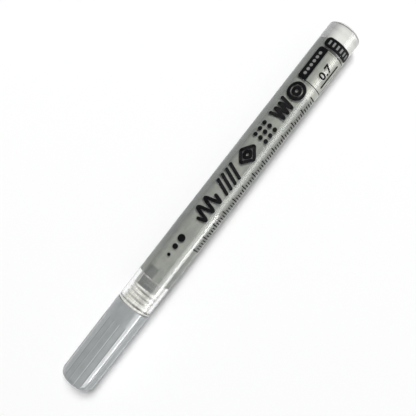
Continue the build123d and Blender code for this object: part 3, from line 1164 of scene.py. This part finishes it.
# %% Ride, replace and finish
for piece, body, replaced, slot, material in (
    (barrel_tube, "barrel", "barrel", "clear_plastic", clear),
    (end_plug, "barrel", "rear_plug", "clear_plastic", cloudy),
    (paint_column, "barrel", "paint_fill", "silver_paint", silver_paint),
    (front_section, "barrel", "front_section", "milky_plastic", milky),
    (valve_coil, "barrel", "valve_spring", "spring_steel", steel),
    (cap_sleeve, "cap", "cap_shell", "cap_plastic", cap_grey),
    (cap_cup, "cap", "cap_liner", "liner_plastic", cup_white),
    (fibre_nib, "writing_tip", "nib", "nib_fibre", fibre),
    (ink_band, "barrel", None, None, ink),
    (ink_frame, "barrel", None, None, ink),
    (ink_pale, "barrel", None, None, pale_ink),
    (ink_number, "barrel", None, None, ink),
    (ink_strokes, "barrel", None, None, ink),
    (ink_points, "barrel", None, None, ink),
    (ink_scale, "barrel", None, None, ink),
):
    piece.data.materials.clear()
    piece.data.materials.append(material)
    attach(piece, body)
    if replaced:
        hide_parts(replaced)
    print(f"{piece.name} rides on {body}, in {material.name}")
for name, material in (
    ("valve_stem", valve_white),
    ("valve_cage", valve_white),
    ("valve_seat", rubber),
    ("mixing_ball", ball_steel),
):
    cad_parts[name].data.materials.clear()
    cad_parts[name].data.materials.append(material)
    print(f"{name} stays, in {material.name}")

# %% [markdown]
# The land of the section has three clear windows, through which the paint shows: the faces there take
# the clear finish from a second slot.

# %% Windows and spring
WINDOW_COUNT, WINDOW_TURN, WINDOW_HALF = 3, -2.5, 40.5
window_step = 360 / WINDOW_COUNT
front_section.data.materials.append(clear)
for face in front_section.data.polygons:
    turned = degrees(atan2(face.center.y, face.center.z - AXIS)) - WINDOW_TURN
    from_window = abs((turned + window_step / 2) % window_step - window_step / 2)
    on_land = LIP_FRONT < face.center.x / MM < CAGE_REAR
    face.material_index = int(on_land and from_window < WINDOW_HALF)
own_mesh(valve_coil)
print(sum(face.material_index for face in front_section.data.polygons), "window faces")

# %% [markdown]
# ## Camera
# The photograph looks straight down on the marker, turned so that the cap is at the lower left. The
# camera hangs over the middle of the pen, close enough for a little perspective. Its lens follows from
# its height and from the width that it sees at the pen's axis.

# %% Camera
CAMERA_UP, FRAME_WIDTH = 0.185, 0.1331
SENSOR, CAMERA_TURN = 36, 127.76
camera_data = bpy.data.cameras.new("photo_camera")
camera_data.sensor_width = SENSOR
camera_data.lens = SENSOR * CAMERA_UP / FRAME_WIDTH
camera_data.clip_start = 0.005
camera = bpy.data.objects.new("photo_camera", camera_data)
bpy.context.scene.collection.objects.link(camera)
camera.location = (0.00106, -0.00036, AXIS + CAMERA_UP)
camera.rotation_euler = (0, 0, radians(CAMERA_TURN))
bpy.context.scene.camera = camera
print(f"lens {camera_data.lens:.1f} mm, {CAMERA_UP} m over the pen")

# %% [markdown]
# ## Floor and world
# The floor is plain white and stays white to the camera, while the pen's shadow on it stays too. It
# glows a little for rays of sight alone, so the glow lights nothing. The world is dim as a light and
# bright as a background, by the same test.

# %% Floor
FLOOR_TONE, FLOOR_GLOW = (0.86, 0.86, 0.86, 1), 0.085


def seen_share(tree, *kinds):
    """1 for rays of sight of these kinds, and 0 once a ray has met a matt surface."""
    path = node(tree, "ShaderNodeLightPath").outputs
    share = calc(tree, "MAXIMUM", path["Is Camera Ray"], *(path[kind] for kind in kinds))
    return calc(tree, "MULTIPLY", share, calc(tree, "LESS_THAN", path["Diffuse Depth"], 0.5))


bpy.ops.object.select_all(action="DESELECT")
bpy.ops.mesh.primitive_plane_add(size=4, location=(0, 0, 0))
floor = bpy.context.active_object
floor.name = "floor"
floor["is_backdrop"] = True
floor_white = bpy.data.materials.new("white_floor")
floor_white.use_nodes = True
tree = floor_white.node_tree
shader = tree.nodes["Principled BSDF"]
shader.inputs["Base Color"].default_value = FLOOR_TONE
shader.inputs["Roughness"].default_value = 0.9
shader.inputs["Specular IOR Level"].default_value = 0.0
shader.inputs["Emission Color"].default_value = (1, 1, 1, 1)
seen = seen_share(tree, "Is Glossy Ray", "Is Transmission Ray")
glow = calc(tree, "MULTIPLY", seen, FLOOR_GLOW)
tree.links.new(glow, shader.inputs["Emission Strength"])
floor.data.materials.append(floor_white)
print(f"floor {floor.dimensions.x:.0f} m wide")

# %% World
SKY_LIGHT, SKY_SEEN = 0.2, 1.0
world = bpy.data.worlds.new("studio")
bpy.context.scene.world = world
world.use_nodes = True
tree = world.node_tree
sky = tree.nodes["Background"]
sky.inputs["Color"].default_value = (0.98, 0.99, 1.0, 1)
seen = seen_share(tree, "Is Transmission Ray")
tree.links.new(ramp(tree, seen, 0.0, 1.0, SKY_LIGHT, SKY_SEEN), sky.inputs["Strength"])
print(f"world: {SKY_LIGHT} as light, {SKY_SEEN} as background")

# %% [markdown]
# ## Lamps
# Two wide soft lamps share one place, one for the pen and one for the floor, so that each can be set on
# its own. A weak fill comes from the other side, and the cap has a lower one for itself. Light linking
# lets the pen's lamps through the clear plastic, as real light goes through it.

# %% Key and fill


def soft_lamp(name, place, width, height, radiance, colour=(1, 1, 1)):
    """A rectangular lamp of this brightness: a square faces the pen's middle, a strip its axis."""
    data = bpy.data.lights.new(name, "AREA")
    data.shape = "RECTANGLE"
    data.size, data.size_y = width, height
    data.energy = radiance * pi * width * height
    data.color = colour
    lamp = bpy.data.objects.new(name, data)
    bpy.context.scene.collection.objects.link(lamp)
    lamp.location = place
    aim = Vector((0 if width == height else place[0], 0, AXIS))
    lamp.rotation_euler = (aim - Vector(place)).to_track_quat("-Z", "Y").to_euler()
    lamp.visible_camera = lamp.visible_transmission = False
    print(f"{name}: {data.energy:.2f} W")
    return lamp


KEY_PLACE, KEY_SIZE, KEY_RADIANCE = (-1.27, -0.68, 3.0), 1.15, 25.0
PEN_SHARE, FLOOR_SHARE, WARM = 0.92, 1.04, (1.0, 0.99, 0.96)
pen_key = soft_lamp("pen_key", KEY_PLACE, KEY_SIZE, KEY_SIZE, PEN_SHARE * KEY_RADIANCE, WARM)
floor_key = soft_lamp("floor_key", KEY_PLACE, KEY_SIZE, KEY_SIZE, FLOOR_SHARE * KEY_RADIANCE)
pen_fill = soft_lamp("pen_fill", (0.0, 2.0, 1.0), 2.0, 2.0, 1.2)
cap_fill = soft_lamp("cap_fill", (0.05, 2.0, 0.4), 0.6, 0.6, 9.0)

# %% Which lamp works on what


def linked(name, pieces, state):
    """A collection that lets a lamp work on these pieces only, or on all but these."""
    links = bpy.data.collections.new(name)
    for piece in pieces:
        links.objects.link(piece)
    for link in links.collection_objects:
        link.light_linking.link_state = state
    return links


all_but_clear = linked("all_but_clear", [barrel_tube, end_plug, front_section], "EXCLUDE")
for lamp, lit, blockers in (
    (pen_key, linked("all_but_floor", [floor], "EXCLUDE"), all_but_clear),
    (pen_fill, linked("all_but_cap", [floor, cap_sleeve], "EXCLUDE"), all_but_clear),
    (cap_fill, linked("cap_only", [cap_sleeve], "INCLUDE"), None),
    (floor_key, linked("floor_only", [floor], "INCLUDE"), None),
):
    lamp.light_linking.receiver_collection = lit
    lamp.light_linking.blocker_collection = blockers
    lamp.visible_glossy = False
    print(f"{lamp.name} lights {lit.name}")

# %% [markdown]
# The bright line along the pen is a mirror image. Panels and strips stand beside it for that alone: a
# wide panel with a brighter band in it, a strip each for the barrel and the cap, and two weak ones low
# down that soften the line's edge.

# %% Mirrored panels and strips
SIDE_AWAY = 0.3
for name, x_from, x_to, low, high, radiance in (
    ("side_panel", -0.6, 0.6, 16, 50, 3.3),
    ("side_band", -0.6, 0.6, 21, 38, 3.4),
    ("barrel_strip", 0.0, 0.104, 8, 23, 13.0),
    ("cap_strip", 0.104, 0.178, 12, 19, 22.0),
    ("front_glow", 0.0, 0.104, 0, 8, 6.0),
    ("rear_glow", -0.2, 0.0, 0, 20, 2.5),
):
    middle, half = radians((low + high) / 2), radians((high - low) / 2)
    up = AXIS + SIDE_AWAY * sin(middle)
    place = ((x_from + x_to) / 2, SIDE_AWAY * cos(middle), up)
    strip = soft_lamp(name, place, x_to - x_from, 2 * SIDE_AWAY * tan(half), radiance)
    strip.visible_diffuse = False
bpy.context.scene.view_settings.view_transform = "Standard"

# %% Print the visual size
low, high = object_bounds()
print("visual size in mm:", [round(side / MM, 3) for side in high - low])
